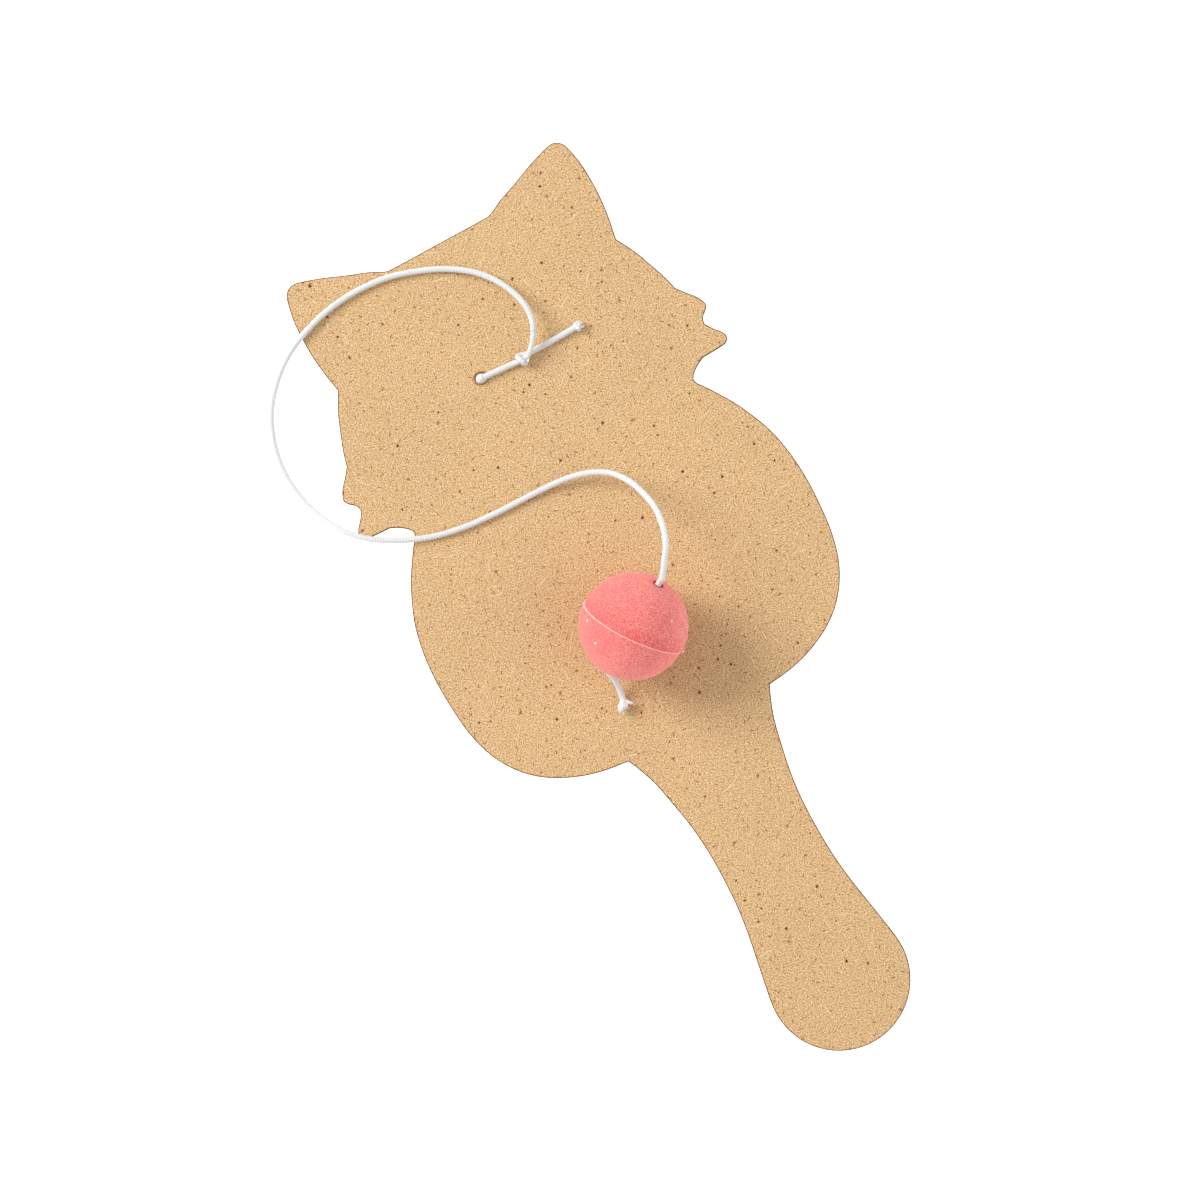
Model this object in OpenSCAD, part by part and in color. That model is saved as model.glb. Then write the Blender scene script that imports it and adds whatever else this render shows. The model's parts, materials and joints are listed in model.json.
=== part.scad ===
// Paddle ball game: a cat-shaped fibreboard paddle, a rubber ball and one length of covered elastic cord.
// It lies on its back. The origin is on the table under the middle of the paddle, +Y points to the ears
// and +Z points up. All sizes are in millimetres.

/* [Paddle] */
// Length of the paddle from the handle's end to the ear tips
paddle_length = 250; // [220:1:300]
// Width of the cat's body at its widest
body_width = 112.2; // [95:0.1:135]
// Thickness of the board
board_thickness = 3; // [2:0.5:5]
// Length of the handle from the body to the centre of its round end
handle_length = 77.4; // [65:1:95]
// Radius of the handle's round end
handle_end_r = 19; // [16:0.5:22]

/* [Cord holes] */
// Diameter of the two holes through the head
hole_d = 3; // [2.8:0.1:3.6]
// Distance between the two holes, centre to centre
hole_spacing = 12.3; // [11:0.1:16]
// Distance from the ear tips down to the middle between the holes
hole_drop = 46.2; // [35:0.1:60]
// How far the middle between the holes lies to the right of the paddle's axis
hole_shift = -0.95; // [-3:0.05:3]
// Angle of the line through the holes, which were drilled by hand
hole_turn = -4; // [-8:0.5:8]

/* [Elastic cord] */
// Diameter of the covered cord
cord_d = 1.6; // [1.4:0.05:1.8]
// Diameter of the cord where the knot squeezes it
knot_cord_d = 1.15; // [1:0.05:1.2]
// Diameter of the rubber core inside the sleeve
core_d = 0.9; // [0.6:0.05:1]
// Length of the straight tail beside the knot, without its frayed end
anchor_tail_length = 8.2; // [6:0.1:14]
// How far the opened sleeve at a cut end reaches past the cord
fray_length = 2.6; // [1.5:0.1:4]
// Radius of the opened sleeve at a cut end
fray_r = 1.3; // [1:0.05:1.8]
// Thickness of the opened sleeve's wall
sleeve_wall = 0.3; // [0.2:0.05:0.35]

/* [Ball] */
// Diameter of the rubber ball
ball_d = 28.6; // [26:0.1:31]
// Where the ball rests, across the paddle
ball_x = -3.1; // [-12:0.1:6]
// Where the ball rests, along the paddle
ball_y = 2.4; // [-6:0.1:12]
// Compass angle of the bore through the ball
bore_turn = 31; // [20:1:40]
// Angle of the bore above the board
bore_tilt = 26; // [20:1:35]
// Compass angle of the moulding's parting plane normal
seam_turn = 35.5; // [25:0.5:45]
// Angle of the parting plane's normal above the board
seam_tilt = 14.5; // [10:1:22]
// Height of the thin rib left at the mould's parting line
rib_height = 0.3; // [0.1:0.05:0.35]
// Thickness of that rib
rib_width = 0.3; // [0.2:0.05:0.5]
// Sideways step between the two moulded halves
mould_step = 0.3; // [0:0.05:0.4]
// Radius of the nub of flash on the rib
nub_r = 1; // [0.6:0.1:1.2]
// Width of the cone where the cord draws the bore's mouth in
mouth_d = 3; // [2.2:0.1:3.6]
// Depth of that cone
mouth_depth = 1; // [0.6:0.1:1.5]

/* [Fits] */
// Gap between the cord and what it is pulled against
seat_gap = 0.05; // [0.02:0.01:0.1]
// Radial clearance of the cord in the ball's bore
bore_gap = 0.05; // [0.02:0.01:0.09]
// Gap between the resting ball or its cord tail and the board
rest_gap = 0.3; // [0.25:0.05:0.4]

/* [Hidden] */
$fn = 64;
overrun = 1;

cord_r = cord_d / 2;
knot_cord_r = knot_cord_d / 2;
ball_r = ball_d / 2;
hole_r = hole_d / 2;

// The strand behind the board is what the paddle lies on, and it is pressed flat by a tenth of its diameter.
rest_cut = cord_d / 10;
board_back = cord_d - rest_cut + seat_gap;
board_top = board_back + board_thickness;
lay = cord_r + seat_gap;

end_y = paddle_length / 2;
grip_y = handle_end_r - end_y;
body_foot_y = grip_y + handle_length;
body_height = end_y - body_foot_y;
hole_x = hole_spacing / 2;
pass_x = hole_x - hole_r + lay;
hole_middle = [hole_shift, end_y - hole_drop, 0];
hole_line = heading_of(hole_turn, 0);

// The right half of the cat, from the top of its head to the foot of its body. Across, each share is of
// half the body's width, and along, of the height from the handle to the ear tips. Each list is one smooth
// stroke, and strokes meet in corners.
ear_shares = [
    [0.25, 0.942], [0.285, 0.944], [0.356, 0.957], [0.446, 0.969], [0.553, 0.985], [0.642, 0.996], [0.69, 1],
    [0.722, 0.997], [0.749, 0.987], [0.766, 0.963], [0.777, 0.937], [0.78, 0.8915], [0.77, 0.8467],
    [0.749, 0.8019]
];
cheek_shares = [[0.749, 0.8019], [0.799, 0.768], [0.836, 0.7341], [0.866, 0.7042], [0.884, 0.6793]];
upper_tuft_shares = [
    [0.884, 0.6793], [0.918, 0.6634], [0.955, 0.6475], [0.975, 0.6305], [0.961, 0.6206], [0.932, 0.6116],
    [0.925, 0.6006]
];
lower_tuft_shares = [
    [0.925, 0.6006], [0.95, 0.5867], [0.98, 0.5737], [0.989, 0.5628], [0.968, 0.5538], [0.909, 0.5518],
    [0.845, 0.5508]
];
neck_shares = [[0.845, 0.5508], [0.806, 0.5439], [0.77, 0.5339], [0.754, 0.5249], [0.761, 0.516]];
body_shares = [
    [0.761, 0.516], [0.804, 0.4951], [0.872, 0.4562], [0.925, 0.4164], [0.964, 0.3775], [0.989, 0.3317],
    [1, 0.2799], [0.995, 0.2241], [0.982, 0.1793], [0.95, 0.1335], [0.897, 0.0946], [0.82, 0.0608],
    [0.722, 0.0349], [0.606, 0.0159], [0.492, 0.005], [0.381, 0]
];
// The handle's right edge. Across, each share is of the round end's radius, and along, of the handle's
// length.
handle_shares = [
    [1.074, 0.026], [0.953, 0.107], [0.868, 0.201], [0.795, 0.297], [0.753, 0.4], [0.747, 0.504],
    [0.763, 0.608], [0.811, 0.71], [0.879, 0.807], [0.942, 0.892], [0.989, 0.962], [1, 1]
];
stroke_steps = 3;
end_arc_step = 5;

// Direction of the bore, pointing out of the mouth that the cord goes into
bore_dir = heading_of(bore_turn, bore_tilt);
ball_centre = [ball_x, ball_y, board_top + rest_gap + ball_r];

// The free cord's route from the ball to the knot. It leaves the ball along the bore and meets the line of
// the knot. Between them it arches down to the board, crosses the tip of the lower tuft, lies on the table
// beside the head, climbs over the ear and rises a little to the knot. These points are chosen by hand.
free_points = [
    [10.6, 11.4, 26.7], [12.3, 13.9, 27], [14.5, 17.2, 26.2], [16.1, 21.7, 23.8], [16.7, 26.8, 20.2],
    [16, 31.3, 17], [14.3, 36.2, 13.8], [11, 40.6, 10.8], [6.3, 43.4, 8.6], [0.4, 45, 6.9],
    [-6, 45.6, 5.9], [-13.5, 45.8, 5.5], [-21, 46, 5.4], [-29.3, 46.7, 5.4], [-37, 48.2, 5.4],
    [-43.8, 50.6, 5.5],
    [-50, 53.8, 5.6], [-54.6, 57, 5.6], [-58.4, 61.1, 5], [-61.4, 65.9, 3.3], [-63.6, 71.7, 1.6],
    [-64.9, 78.9, 0.9], [-64.6, 86.4, 0.9], [-62.7, 93.4, 0.9], [-59.4, 99.6, 1.2], [-54.3, 105.2, 2.6],
    [-48.2, 109.5, 4.9], [-41.5, 112.4, 5.6], [-33.5, 114.6, 5.4], [-25, 115.3, 5.4], [-16.5, 114.6, 5.4],
    [-8.5, 112.3, 5.4], [-1.2, 109, 5.6], [5.3, 104.2, 6.4], [9.8, 98.2, 7.6], [12.2, 91.6, 8.7],
    [12.2, 86.6, 9.1]
];
bore_lead_share = 0.08;

// The knot, in cord diameters from the right hole's centre on top of the board. The line comes from the free
// cord, crosses over the tail, runs down the lower side of the knot and becomes the front strand.
line_shares = [
    [3.69, 3.21, 2.75], [3.16, 2.33, 2.59], [2.6, 1.61, 2.34], [2.04, 0.99, 2.06], [1.51, 0.49, 1.81],
    [1.01, 0.13, 1.56], [0.51, 0, 1.34], [0.01, -0.05, 1.19], [-0.49, -0.03, 1.05], [-0.99, 0.02, 0.88],
    [-1.49, 0.08, 0.69], [-1.99, 0.13, 0.56]
];
// The hitch comes up through the right hole, goes under the line, back over it, and out to the tail.
hitch_shares = [
    [-0.31, -0.11, 0.26], [-0.15, -0.35, 0.38], [-0.03, -0.63, 0.5], [0.01, -0.77, 0.84],
    [-0.1, -0.79, 1.42], [-0.22, -0.49, 1.84], [-0.38, -0.13, 1.93], [-0.55, 0.25, 1.79],
    [-0.67, 0.6, 1.45], [-0.57, 0.82, 1.08], [-0.18, 0.77, 0.91], [0.32, 0.61, 0.84], [0.82, 0.49, 0.78],
    [1.32, 0.39, 0.72], [1.88, 0.39, 0.63], [2.51, 0.39, 0.55]
];
// The line ends along the line of the holes, and the hitch beside it
line_end_shares = [-2.6, -3.2];
hitch_end_shares = [3.5, 4.45, 5.16];
hitch_side_share = 0.39;
mouth_share = 0.4;
lead_share = 0.06;
tail_lead_share = 0.4;
// Shares of a knot strand's length over which it narrows at its start and widens again at its end
line_squeeze_shares = [0.3, 0.35];
hitch_squeeze_shares = [0.14, 0.25];

// The two tails. The anchor's shares are of its length, forward, sideways and up.
anchor_tail_shares = [[0.4, 0.004, 0], [0.75, 0.012, 0.008], [1, 0.022, 0.045]];
// The ball's tail turns down from the bore to the board. Its shares are of the ball's radius from the bore's
// lower mouth, and the last of each is of the drop to the board.
ball_tail_shares = [
    [-0.035, -0.072, 0.141], [-0.02, -0.145, 0.286], [0.001, -0.243, 0.48], [0.001, -0.376, 0.736],
    [-0.016, -0.502, 0.902], [-0.037, -0.61, 0.975], [-0.053, -0.684, 0.943]
];
// Along a frayed end: how far each ring lies and how far the sleeve has opened there
fray_shares = [[0, 0], [0.25, 0.1], [0.5, 0.4], [0.75, 0.8], [1, 1]];
fray_floor_share = 0.5;
core_end_share = 0.8;
fray_lobe_share = 0.16;
fray_tip_share = 0.22;
// How many folds go round an opened end, and how many long tips
fray_folds = 5;
fray_tips = 2;

cord_sides = 8;
knot_sides = 10;
fray_sides = 20;
free_steps = 2;
knot_steps = 3;

// Directions, curves and sections

function heading_of(turn, tilt) = [cos(tilt) * cos(turn), cos(tilt) * sin(turn), sin(tilt)];
function unit(v) = v / norm(v);
function across(v, heading) = unit(v - (v * heading) * heading);
function last(list) = list[len(list) - 1];
function ease(t) = t * t * (3 - 2 * t);
function pile(list) = [for (item = list) each item];

// A smooth curve through all the points of a list: its place and its heading at step t after point i
function before(p, i) = p[max(i - 1, 0)];
function after(p, i, n) = p[min(i + n, len(p) - 1)];
function curve_place(p, i, t) =
    let (a = before(p, i), b = p[i], c = after(p, i, 1), d = after(p, i, 2))
    b + ((c - a) * t + (2 * a - 5 * b + 4 * c - d) * t * t + (3 * b - a - 3 * c + d) * t * t * t) / 2;
function curve_heading(p, i, t) =
    let (a = before(p, i), b = p[i], c = after(p, i, 1), d = after(p, i, 2))
    unit((c - a) + (2 * a - 5 * b + 4 * c - d) * 2 * t + (3 * b - a - 3 * c + d) * 3 * t * t);
function smooth(p, steps) =
    [for (i = [0 : len(p) - 2]) for (s = [0 : steps - 1]) curve_place(p, i, s / steps), last(p)];

// The places and headings along one stretch of a route, from its point number first to its point number end
function stretch(p, first, end, steps) = [
    for (k = [first * steps : end * steps])
        let (i = floor(k / steps), t = k / steps - i)
        [curve_place(p, i, t), curve_heading(p, i, t)]
];
function route_length(path) =
    len(path) < 2 ? 0 :
        norm(path[1][0] - path[0][0]) + route_length([for (k = [1 : len(path) - 1]) path[k]]);

// Sideways directions carried along a path without twisting
function sides_of(path) = [
    for (
        k = 0, s = across([0.3, 1, 0.2], path[0][1]);
        k < len(path);
        k = k + 1, s = k < len(path) ? across(s, path[k][1]) : s
    ) s
];
function ring(place, heading, side, r, n) =
    let (up = cross(heading, side))
    [for (j = [0 : n - 1]) place + r * (cos(360 * j / n) * side + sin(360 * j / n) * up)];
function tube_rings(path, radii, n) =
    let (sides = sides_of(path))
    [for (k = [0 : len(path) - 1]) ring(path[k][0], path[k][1], sides[k], radii[k], n)];

// A strand that narrows from its own radius to the knot's and widens again, over shares of its length
function squeezed(n, shares) = [
    for (k = [0 : n - 1])
        let (t = k / (n - 1), a = min(t / shares[0], 1), b = min((1 - t) / shares[1], 1))
        cord_r + (knot_cord_r - cord_r) * ease(min(a, b))
];
function evenly(n, r) = [for (k = [0 : n - 1]) r];

// A closed solid through a list of rings that all have the same number of points
module skin(rings) {
    n = len(rings[0]);
    top = (len(rings) - 1) * n;
    walls = [
        for (k = [0 : len(rings) - 2]) for (j = [0 : n - 1])
            let (a = k * n + j, b = k * n + (j + 1) % n, c = b + n, d = a + n)
            each [[a, d, b], [b, d, c]]
    ];
    foot = [for (j = [1 : n - 2]) [0, j, j + 1]];
    head = [for (j = [1 : n - 2]) [top, top + j + 1, top + j]];
    polyhedron(points = pile(rings), faces = concat(walls, foot, head), convexity = 10);
}

module along(heading) {
    rotate([0, acos(heading.z), atan2(heading.y, heading.x)]) children();
}

// Routes

hole_top = hole_middle + hole_x * hole_line + [0, 0, board_top];
line_z = board_top + lay;
bore_mouth = ball_centre + (ball_r + cord_r) * bore_dir;
bore_exit = ball_centre - ball_r * bore_dir;

knot_line = concat(
    [for (s = line_shares) hole_top + s * cord_d],
    [for (x = line_end_shares) hole_top + [0, 0, lay] + x * cord_d * hole_line]
);
free_route = concat([bore_mouth, bore_mouth + bore_lead_share * ball_r * bore_dir], free_points);
line_route = concat(free_route, knot_line);
free_end = len(free_route);
free_path = stretch(line_route, 0, free_end, free_steps);
line_path = stretch(line_route, free_end, len(line_route) - 1, knot_steps);

pass_top = board_top - mouth_share * cord_d;
pass_at = hole_middle + pass_x * hole_line;
hitch_line = concat(
    [pass_at + [0, 0, pass_top], pass_at + [0, 0, board_top + lead_share * cord_d]],
    [for (s = hitch_shares) hole_top + s * cord_d],
    [for (x = hitch_end_shares) hole_top + [x * cord_d, hitch_side_share * cord_d, lay]]
);
anchor_tail_line = [for (s = anchor_tail_shares) last(hitch_line) + s * anchor_tail_length];
hitch_route = concat(hitch_line, anchor_tail_line);
hitch_end = len(hitch_line) - 1;
hitch_path = stretch(hitch_route, 0, hitch_end, knot_steps);
anchor_tail_path = stretch(hitch_route, hitch_end, len(hitch_route) - 1, knot_steps);

tail_rest_z = board_top + rest_gap + cord_r;
tail_drop = bore_exit.z - tail_rest_z;
ball_tail_route = concat(
    [bore_exit, bore_exit - tail_lead_share * cord_d * bore_dir],
    [for (s = ball_tail_shares) bore_exit + [s.x * ball_r, s.y * ball_r, -s.z * tail_drop]]
);
ball_tail_path = stretch(ball_tail_route, 0, len(ball_tail_route) - 1, knot_steps);

echo(free_cord_length = route_length(free_path));
echo(knot_least_gap = min([for (a = line_path) for (b = hitch_path) norm(a[0] - b[0])]) - knot_cord_d);

// Sub-parts

module cat_outline() {
    head = pile([
        for (s = [ear_shares, cheek_shares, upper_tuft_shares, lower_tuft_shares, neck_shares, body_shares])
            smooth([for (p = s) [p.x * body_width / 2, body_foot_y + p.y * body_height]], stroke_steps)
    ]);
    handle = smooth(
        [for (p = handle_shares) [p.x * handle_end_r, body_foot_y - p.y * handle_length]], stroke_steps
    );
    round_end = [
        for (a = [-end_arc_step : -end_arc_step : end_arc_step - 90])
            [handle_end_r * cos(a), grip_y + handle_end_r * sin(a)]
    ];
    right = concat(head, handle, round_end);
    polygon(concat(right, [[0, -end_y]], [for (k = [len(right) - 1 : -1 : 0]) [-right[k].x, right[k].y]]));
}

module paddle_board() {
    color("#e2bd8c") difference() {
        translate([0, 0, board_back]) linear_extrude(board_thickness) cat_outline();
        for (side = [-1, 1])
            translate(hole_middle + side * hole_x * hole_line + [0, 0, board_back - overrun])
                cylinder(r = hole_r, h = board_thickness + 2 * overrun);
    }
}

// A quarter turn of cord round the edge of a hole, with the edge at the origin, from straight along X to
// straight down
module edge_bend() {
    rotate([90, 0, 0]) rotate_extrude(angle = 90) translate([lay, 0]) circle(r = cord_r);
}

module strand_between(a, b) {
    translate(a) along(unit(b - a)) cylinder(r = cord_r, h = norm(b - a));
}

module beside_holes() {
    translate(hole_middle) rotate([0, 0, hole_turn]) children();
}

// The strand goes down the left hole, across the back and up the right hole. The table presses it flat
// below.
module elastic_back_strand() {
    run_z = board_back - lay;
    edge_x = pass_x - lay;
    color("#f4f5f6") beside_holes() intersection() {
        union() {
            for (side = [-1, 1]) {
                strand_between([side * pass_x, 0, board_back], [side * pass_x, 0, pass_top]);
                translate([side * edge_x, 0, board_back]) mirror([side < 0 ? 1 : 0, 0, 0])
                    mirror([0, 0, 1]) edge_bend();
            }
            strand_between([-edge_x, 0, run_z], [edge_x, 0, run_z]);
        }
        translate([-hole_spacing, -hole_spacing / 2, 0])
            cube([2 * hole_spacing, hole_spacing, board_top + overrun]);
    }
}

module elastic_front_strand() {
    edge_x = pass_x - lay;
    color("#f4f5f6") beside_holes() {
        strand_between([-edge_x, 0, line_z], [hole_x + last(line_end_shares) * cord_d, 0, line_z]);
        translate([-edge_x, 0, board_top]) mirror([1, 0, 0]) edge_bend();
        strand_between([-pass_x, 0, pass_top], [-pass_x, 0, board_top]);
    }
}

module anchor_knot() {
    color("#f4f5f6") {
        skin(tube_rings(line_path, squeezed(len(line_path), line_squeeze_shares), knot_sides));
        skin(tube_rings(hitch_path, squeezed(len(hitch_path), hitch_squeeze_shares), knot_sides));
    }
}

module elastic_anchor_tail() {
    color("#f4f5f6") skin(tube_rings(anchor_tail_path, evenly(len(anchor_tail_path), cord_r), knot_sides));
}

// The opened end of the sleeve: a lobed cup that grows out of the cord, with its longest tips to two sides
module fray(end) {
    place = end[0];
    heading = end[1];
    side = across([0, 0, 1], heading);
    up = cross(heading, side);
    rings = [
        for (way = [0, 1]) for (k = [0 : len(fray_shares) - 1])
            let (f = fray_shares[way ? len(fray_shares) - 1 - k : k])
            if (!way || f[0] >= fray_floor_share) [
                for (j = [0 : fray_sides - 1])
                    let (
                        a = 360 * j / fray_sides,
                        open = f[1] * (1 + fray_lobe_share * cos(fray_folds * a)),
                        r = cord_r + (fray_r - cord_r) * open - (way ? sleeve_wall : 0),
                        tip = max(f[0] - fray_floor_share, 0) * fray_tip_share * cos(fray_tips * a + 90),
                        reach = fray_length * (f[0] + tip)
                    )
                    place + reach * heading + r * (cos(a) * side + sin(a) * up)
            ]
    ];
    skin(rings);
}

module core_stub(end) {
    floor_at = fray_floor_share * fray_length;
    translate(end[0] + floor_at * end[1]) along(end[1])
        cylinder(d = core_d, h = (core_end_share - fray_floor_share) * fray_length);
}

module anchor_tail_fray() {
    color("#f4f5f6") fray(last(anchor_tail_path));
}

module anchor_tail_core() {
    color("#e6dccb") core_stub(last(anchor_tail_path));
}

// The part of the cord that lies loose between the ball and the knot
module elastic_free_stretch() {
    color("#f4f5f6") skin(tube_rings(free_path, evenly(len(free_path), cord_r), cord_sides));
}

module elastic_in_ball() {
    color("#f4f5f6") strand_between(bore_exit, bore_mouth);
}

module elastic_ball_tail() {
    color("#f4f5f6") skin(tube_rings(ball_tail_path, evenly(len(ball_tail_path), cord_r), knot_sides));
}

module ball_tail_fray() {
    color("#f4f5f6") fray(last(ball_tail_path));
}

module ball_tail_core() {
    color("#e6dccb") core_stub(last(ball_tail_path));
}

// Two moulded halves that met a little out of line, with the rib and the nub of flash between them
module ball_halves() {
    for (half = [1, -1])
        translate([0, half * mould_step / 2, 0]) mirror([0, 0, half < 0 ? 1 : 0])
            rotate_extrude() intersection() {
                circle(r = ball_r);
                square(ball_r + overrun);
            }
    cylinder(r = ball_r + rib_height, h = rib_width, center = true);
    translate([0, ball_r, 0]) sphere(r = nub_r);
}

module ball() {
    bore_r = cord_r + bore_gap;
    color("#e8838a") translate(ball_centre) difference() {
        rotate([0, 0, seam_turn]) rotate([0, 90 - seam_tilt, 0]) rotate([0, 0, 180]) ball_halves();
        along(bore_dir) cylinder(r = bore_r, h = 2 * (ball_r + overrun), center = true);
        for (way = [1, -1])
            along(way * bore_dir) translate([0, 0, ball_r - mouth_depth])
                cylinder(r1 = bore_r, r2 = mouth_d / 2, h = mouth_depth + rib_height);
    }
}

paddle_board();
elastic_back_strand();
elastic_front_strand();
anchor_knot();
elastic_anchor_tail();
anchor_tail_fray();
anchor_tail_core();
elastic_free_stretch();
elastic_in_ball();
elastic_ball_tail();
ball_tail_fray();
ball_tail_core();
ball();
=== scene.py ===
# %% [markdown]
# # A paddle ball game
# A cat-shaped paddle of bare fibreboard, a dusty rubber ball and one length of covered elastic cord. The solids
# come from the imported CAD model. This lesson dresses them: real cut edges on the board, a braided sleeve on the
# cord, a knot that passes over and under itself, frayed ends, and a ball with the flash of its mould.

import json
import math
import random

import bpy
import numpy as np
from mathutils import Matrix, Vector

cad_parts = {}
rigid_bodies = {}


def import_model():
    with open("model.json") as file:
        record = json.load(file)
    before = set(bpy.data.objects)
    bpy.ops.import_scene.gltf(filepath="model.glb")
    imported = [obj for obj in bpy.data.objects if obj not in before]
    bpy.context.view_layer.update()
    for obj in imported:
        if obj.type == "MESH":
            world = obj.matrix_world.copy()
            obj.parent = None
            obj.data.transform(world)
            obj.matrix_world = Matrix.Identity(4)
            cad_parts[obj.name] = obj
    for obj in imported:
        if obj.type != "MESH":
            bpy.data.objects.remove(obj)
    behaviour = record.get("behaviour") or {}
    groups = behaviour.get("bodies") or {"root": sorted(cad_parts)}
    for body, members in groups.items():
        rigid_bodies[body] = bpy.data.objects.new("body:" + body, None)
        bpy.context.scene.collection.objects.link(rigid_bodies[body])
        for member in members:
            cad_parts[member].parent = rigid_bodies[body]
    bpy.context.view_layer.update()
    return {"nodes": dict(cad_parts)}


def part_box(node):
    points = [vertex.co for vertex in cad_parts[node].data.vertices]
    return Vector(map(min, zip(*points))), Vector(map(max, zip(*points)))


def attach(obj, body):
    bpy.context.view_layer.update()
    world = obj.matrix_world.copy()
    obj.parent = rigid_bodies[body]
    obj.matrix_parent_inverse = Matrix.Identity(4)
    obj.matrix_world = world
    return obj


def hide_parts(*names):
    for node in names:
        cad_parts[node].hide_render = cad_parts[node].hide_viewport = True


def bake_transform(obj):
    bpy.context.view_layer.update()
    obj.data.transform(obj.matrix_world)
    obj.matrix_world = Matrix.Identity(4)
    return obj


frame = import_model()

# %% [markdown]
# ## The camera
# The photograph looks straight down with a long lens, and the paddle lies turned on the table. So the camera
# hangs above the board and is itself turned, and the paddle stays where the CAD model has it.

# %% Hang the camera over the board
PHOTO_PX = 1200
METRES_PER_PX = 0.0002651
BOARD_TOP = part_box("paddle_board")[1][2]
BOARD_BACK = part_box("paddle_board")[0][2]
SENSOR_MM = 36
CAMERA_HEIGHT = 1.2
CAMERA_TURN = math.radians(-28.59)
CAMERA_OVER = (-0.0075, 0.0126)

camera_data = bpy.data.cameras.new("overhead_camera")
camera_data.sensor_width = SENSOR_MM
camera_data.lens = SENSOR_MM * CAMERA_HEIGHT / (PHOTO_PX * METRES_PER_PX)
camera = bpy.data.objects.new("overhead_camera", camera_data)
camera.location = (*CAMERA_OVER, BOARD_TOP + CAMERA_HEIGHT)
camera.rotation_euler = (0, 0, CAMERA_TURN)
bpy.context.collection.objects.link(camera)
bpy.context.scene.camera = camera
print("lens", round(camera_data.lens, 1), "mm")

# %% [markdown]
# ## The cord's route
# The toy has one length of elastic. It starts in a frayed end beside the ball, goes through the ball, loops
# loosely over and beside the paddle to the knot, runs along the front to the left hole, goes through it and
# across the back, comes up the right hole, makes the hitch of the knot and ends in a short straight tail. All of
# it is laid down here as one list of points, so that the braid runs on unbroken where one piece ends and the
# next starts. The points are the CAD model's own, in metres.

# %% Points from the ball's tail to the knot
CORD_R = 0.0008
LAY = 0.00085
HOLE_R = 0.0015
HALF_SPACING = 0.00615
HOLES_MIDDLE = Vector((-0.00095, 0.0788, 0))
HOLE_TURN = math.radians(-4)
HOLE_LINE = Vector((math.cos(HOLE_TURN), math.sin(HOLE_TURN), 0))
HOLE = HOLES_MIDDLE + HALF_SPACING * HOLE_LINE + Vector((0, 0, BOARD_TOP))
BALL_R = 0.0143
REST_GAP = 0.0003
BALL = Vector((-0.0031, 0.0024, BOARD_TOP + REST_GAP + BALL_R))


def heading_of(turn, tilt):
    """The direction with this compass angle and this angle above the board, in degrees."""
    turn, tilt = math.radians(turn), math.radians(tilt)
    return Vector((math.cos(tilt) * math.cos(turn), math.cos(tilt) * math.sin(turn), math.sin(tilt)))


BORE = heading_of(31, 26)
BORE_MOUTH = BALL + (BALL_R + CORD_R) * BORE
BORE_EXIT = BALL - BALL_R * BORE

ball_tail = [
    (-0.01487, -0.014, 0.006), (-0.01465, -0.01295, 0.00577), (-0.01435, -0.0114, 0.0063),
    (-0.0141, -0.0096, 0.0075), (-0.0141, -0.0077, 0.00935), (-0.0144, -0.0063, 0.01075),
    (-0.01462, -0.00525, 0.0118),
]
free_points = [
    (0.0106, 0.0114, 0.0267), (0.0123, 0.0139, 0.027), (0.0145, 0.0172, 0.0262), (0.0161, 0.0217, 0.0238),
    (0.0167, 0.0268, 0.0202), (0.016, 0.0313, 0.017), (0.0143, 0.0362, 0.0138), (0.011, 0.0406, 0.0108),
    (0.0063, 0.0434, 0.0086), (0.0004, 0.045, 0.0069), (-0.006, 0.0456, 0.0059), (-0.0135, 0.0458, 0.0055),
    (-0.021, 0.046, 0.0054), (-0.0293, 0.0467, 0.0054), (-0.037, 0.0482, 0.0054), (-0.0438, 0.0506, 0.0055),
    (-0.05, 0.0538, 0.0056), (-0.0546, 0.057, 0.0056), (-0.0584, 0.0611, 0.005), (-0.0614, 0.0659, 0.0033),
    (-0.0636, 0.0717, 0.0016), (-0.0649, 0.0789, 0.0009), (-0.0646, 0.0864, 0.0009), (-0.0627, 0.0934, 0.0009),
    (-0.0594, 0.0996, 0.0012), (-0.0543, 0.1052, 0.0026), (-0.0482, 0.1095, 0.0049), (-0.0415, 0.1124, 0.0056),
    (-0.0335, 0.1146, 0.0054), (-0.025, 0.1153, 0.0054), (-0.0165, 0.1146, 0.0054), (-0.0085, 0.1123, 0.0054),
    (-0.0012, 0.109, 0.0056), (0.0053, 0.1042, 0.0064), (0.0098, 0.0982, 0.0076), (0.0122, 0.0916, 0.0087),
    (0.0122, 0.0866, 0.0091),
]
print("loose cord through", len(free_points), "points")

# %% [markdown]
# ### The knot
# A half hitch: the tail comes up through the hole, goes under the line that leads to the ball, back over it, and
# out to the right. The two strands must pass over and under each other for real, because a lump that only looks
# like a knot from above gives itself away from the side. The offsets are in cord diameters from the hole.

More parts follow.
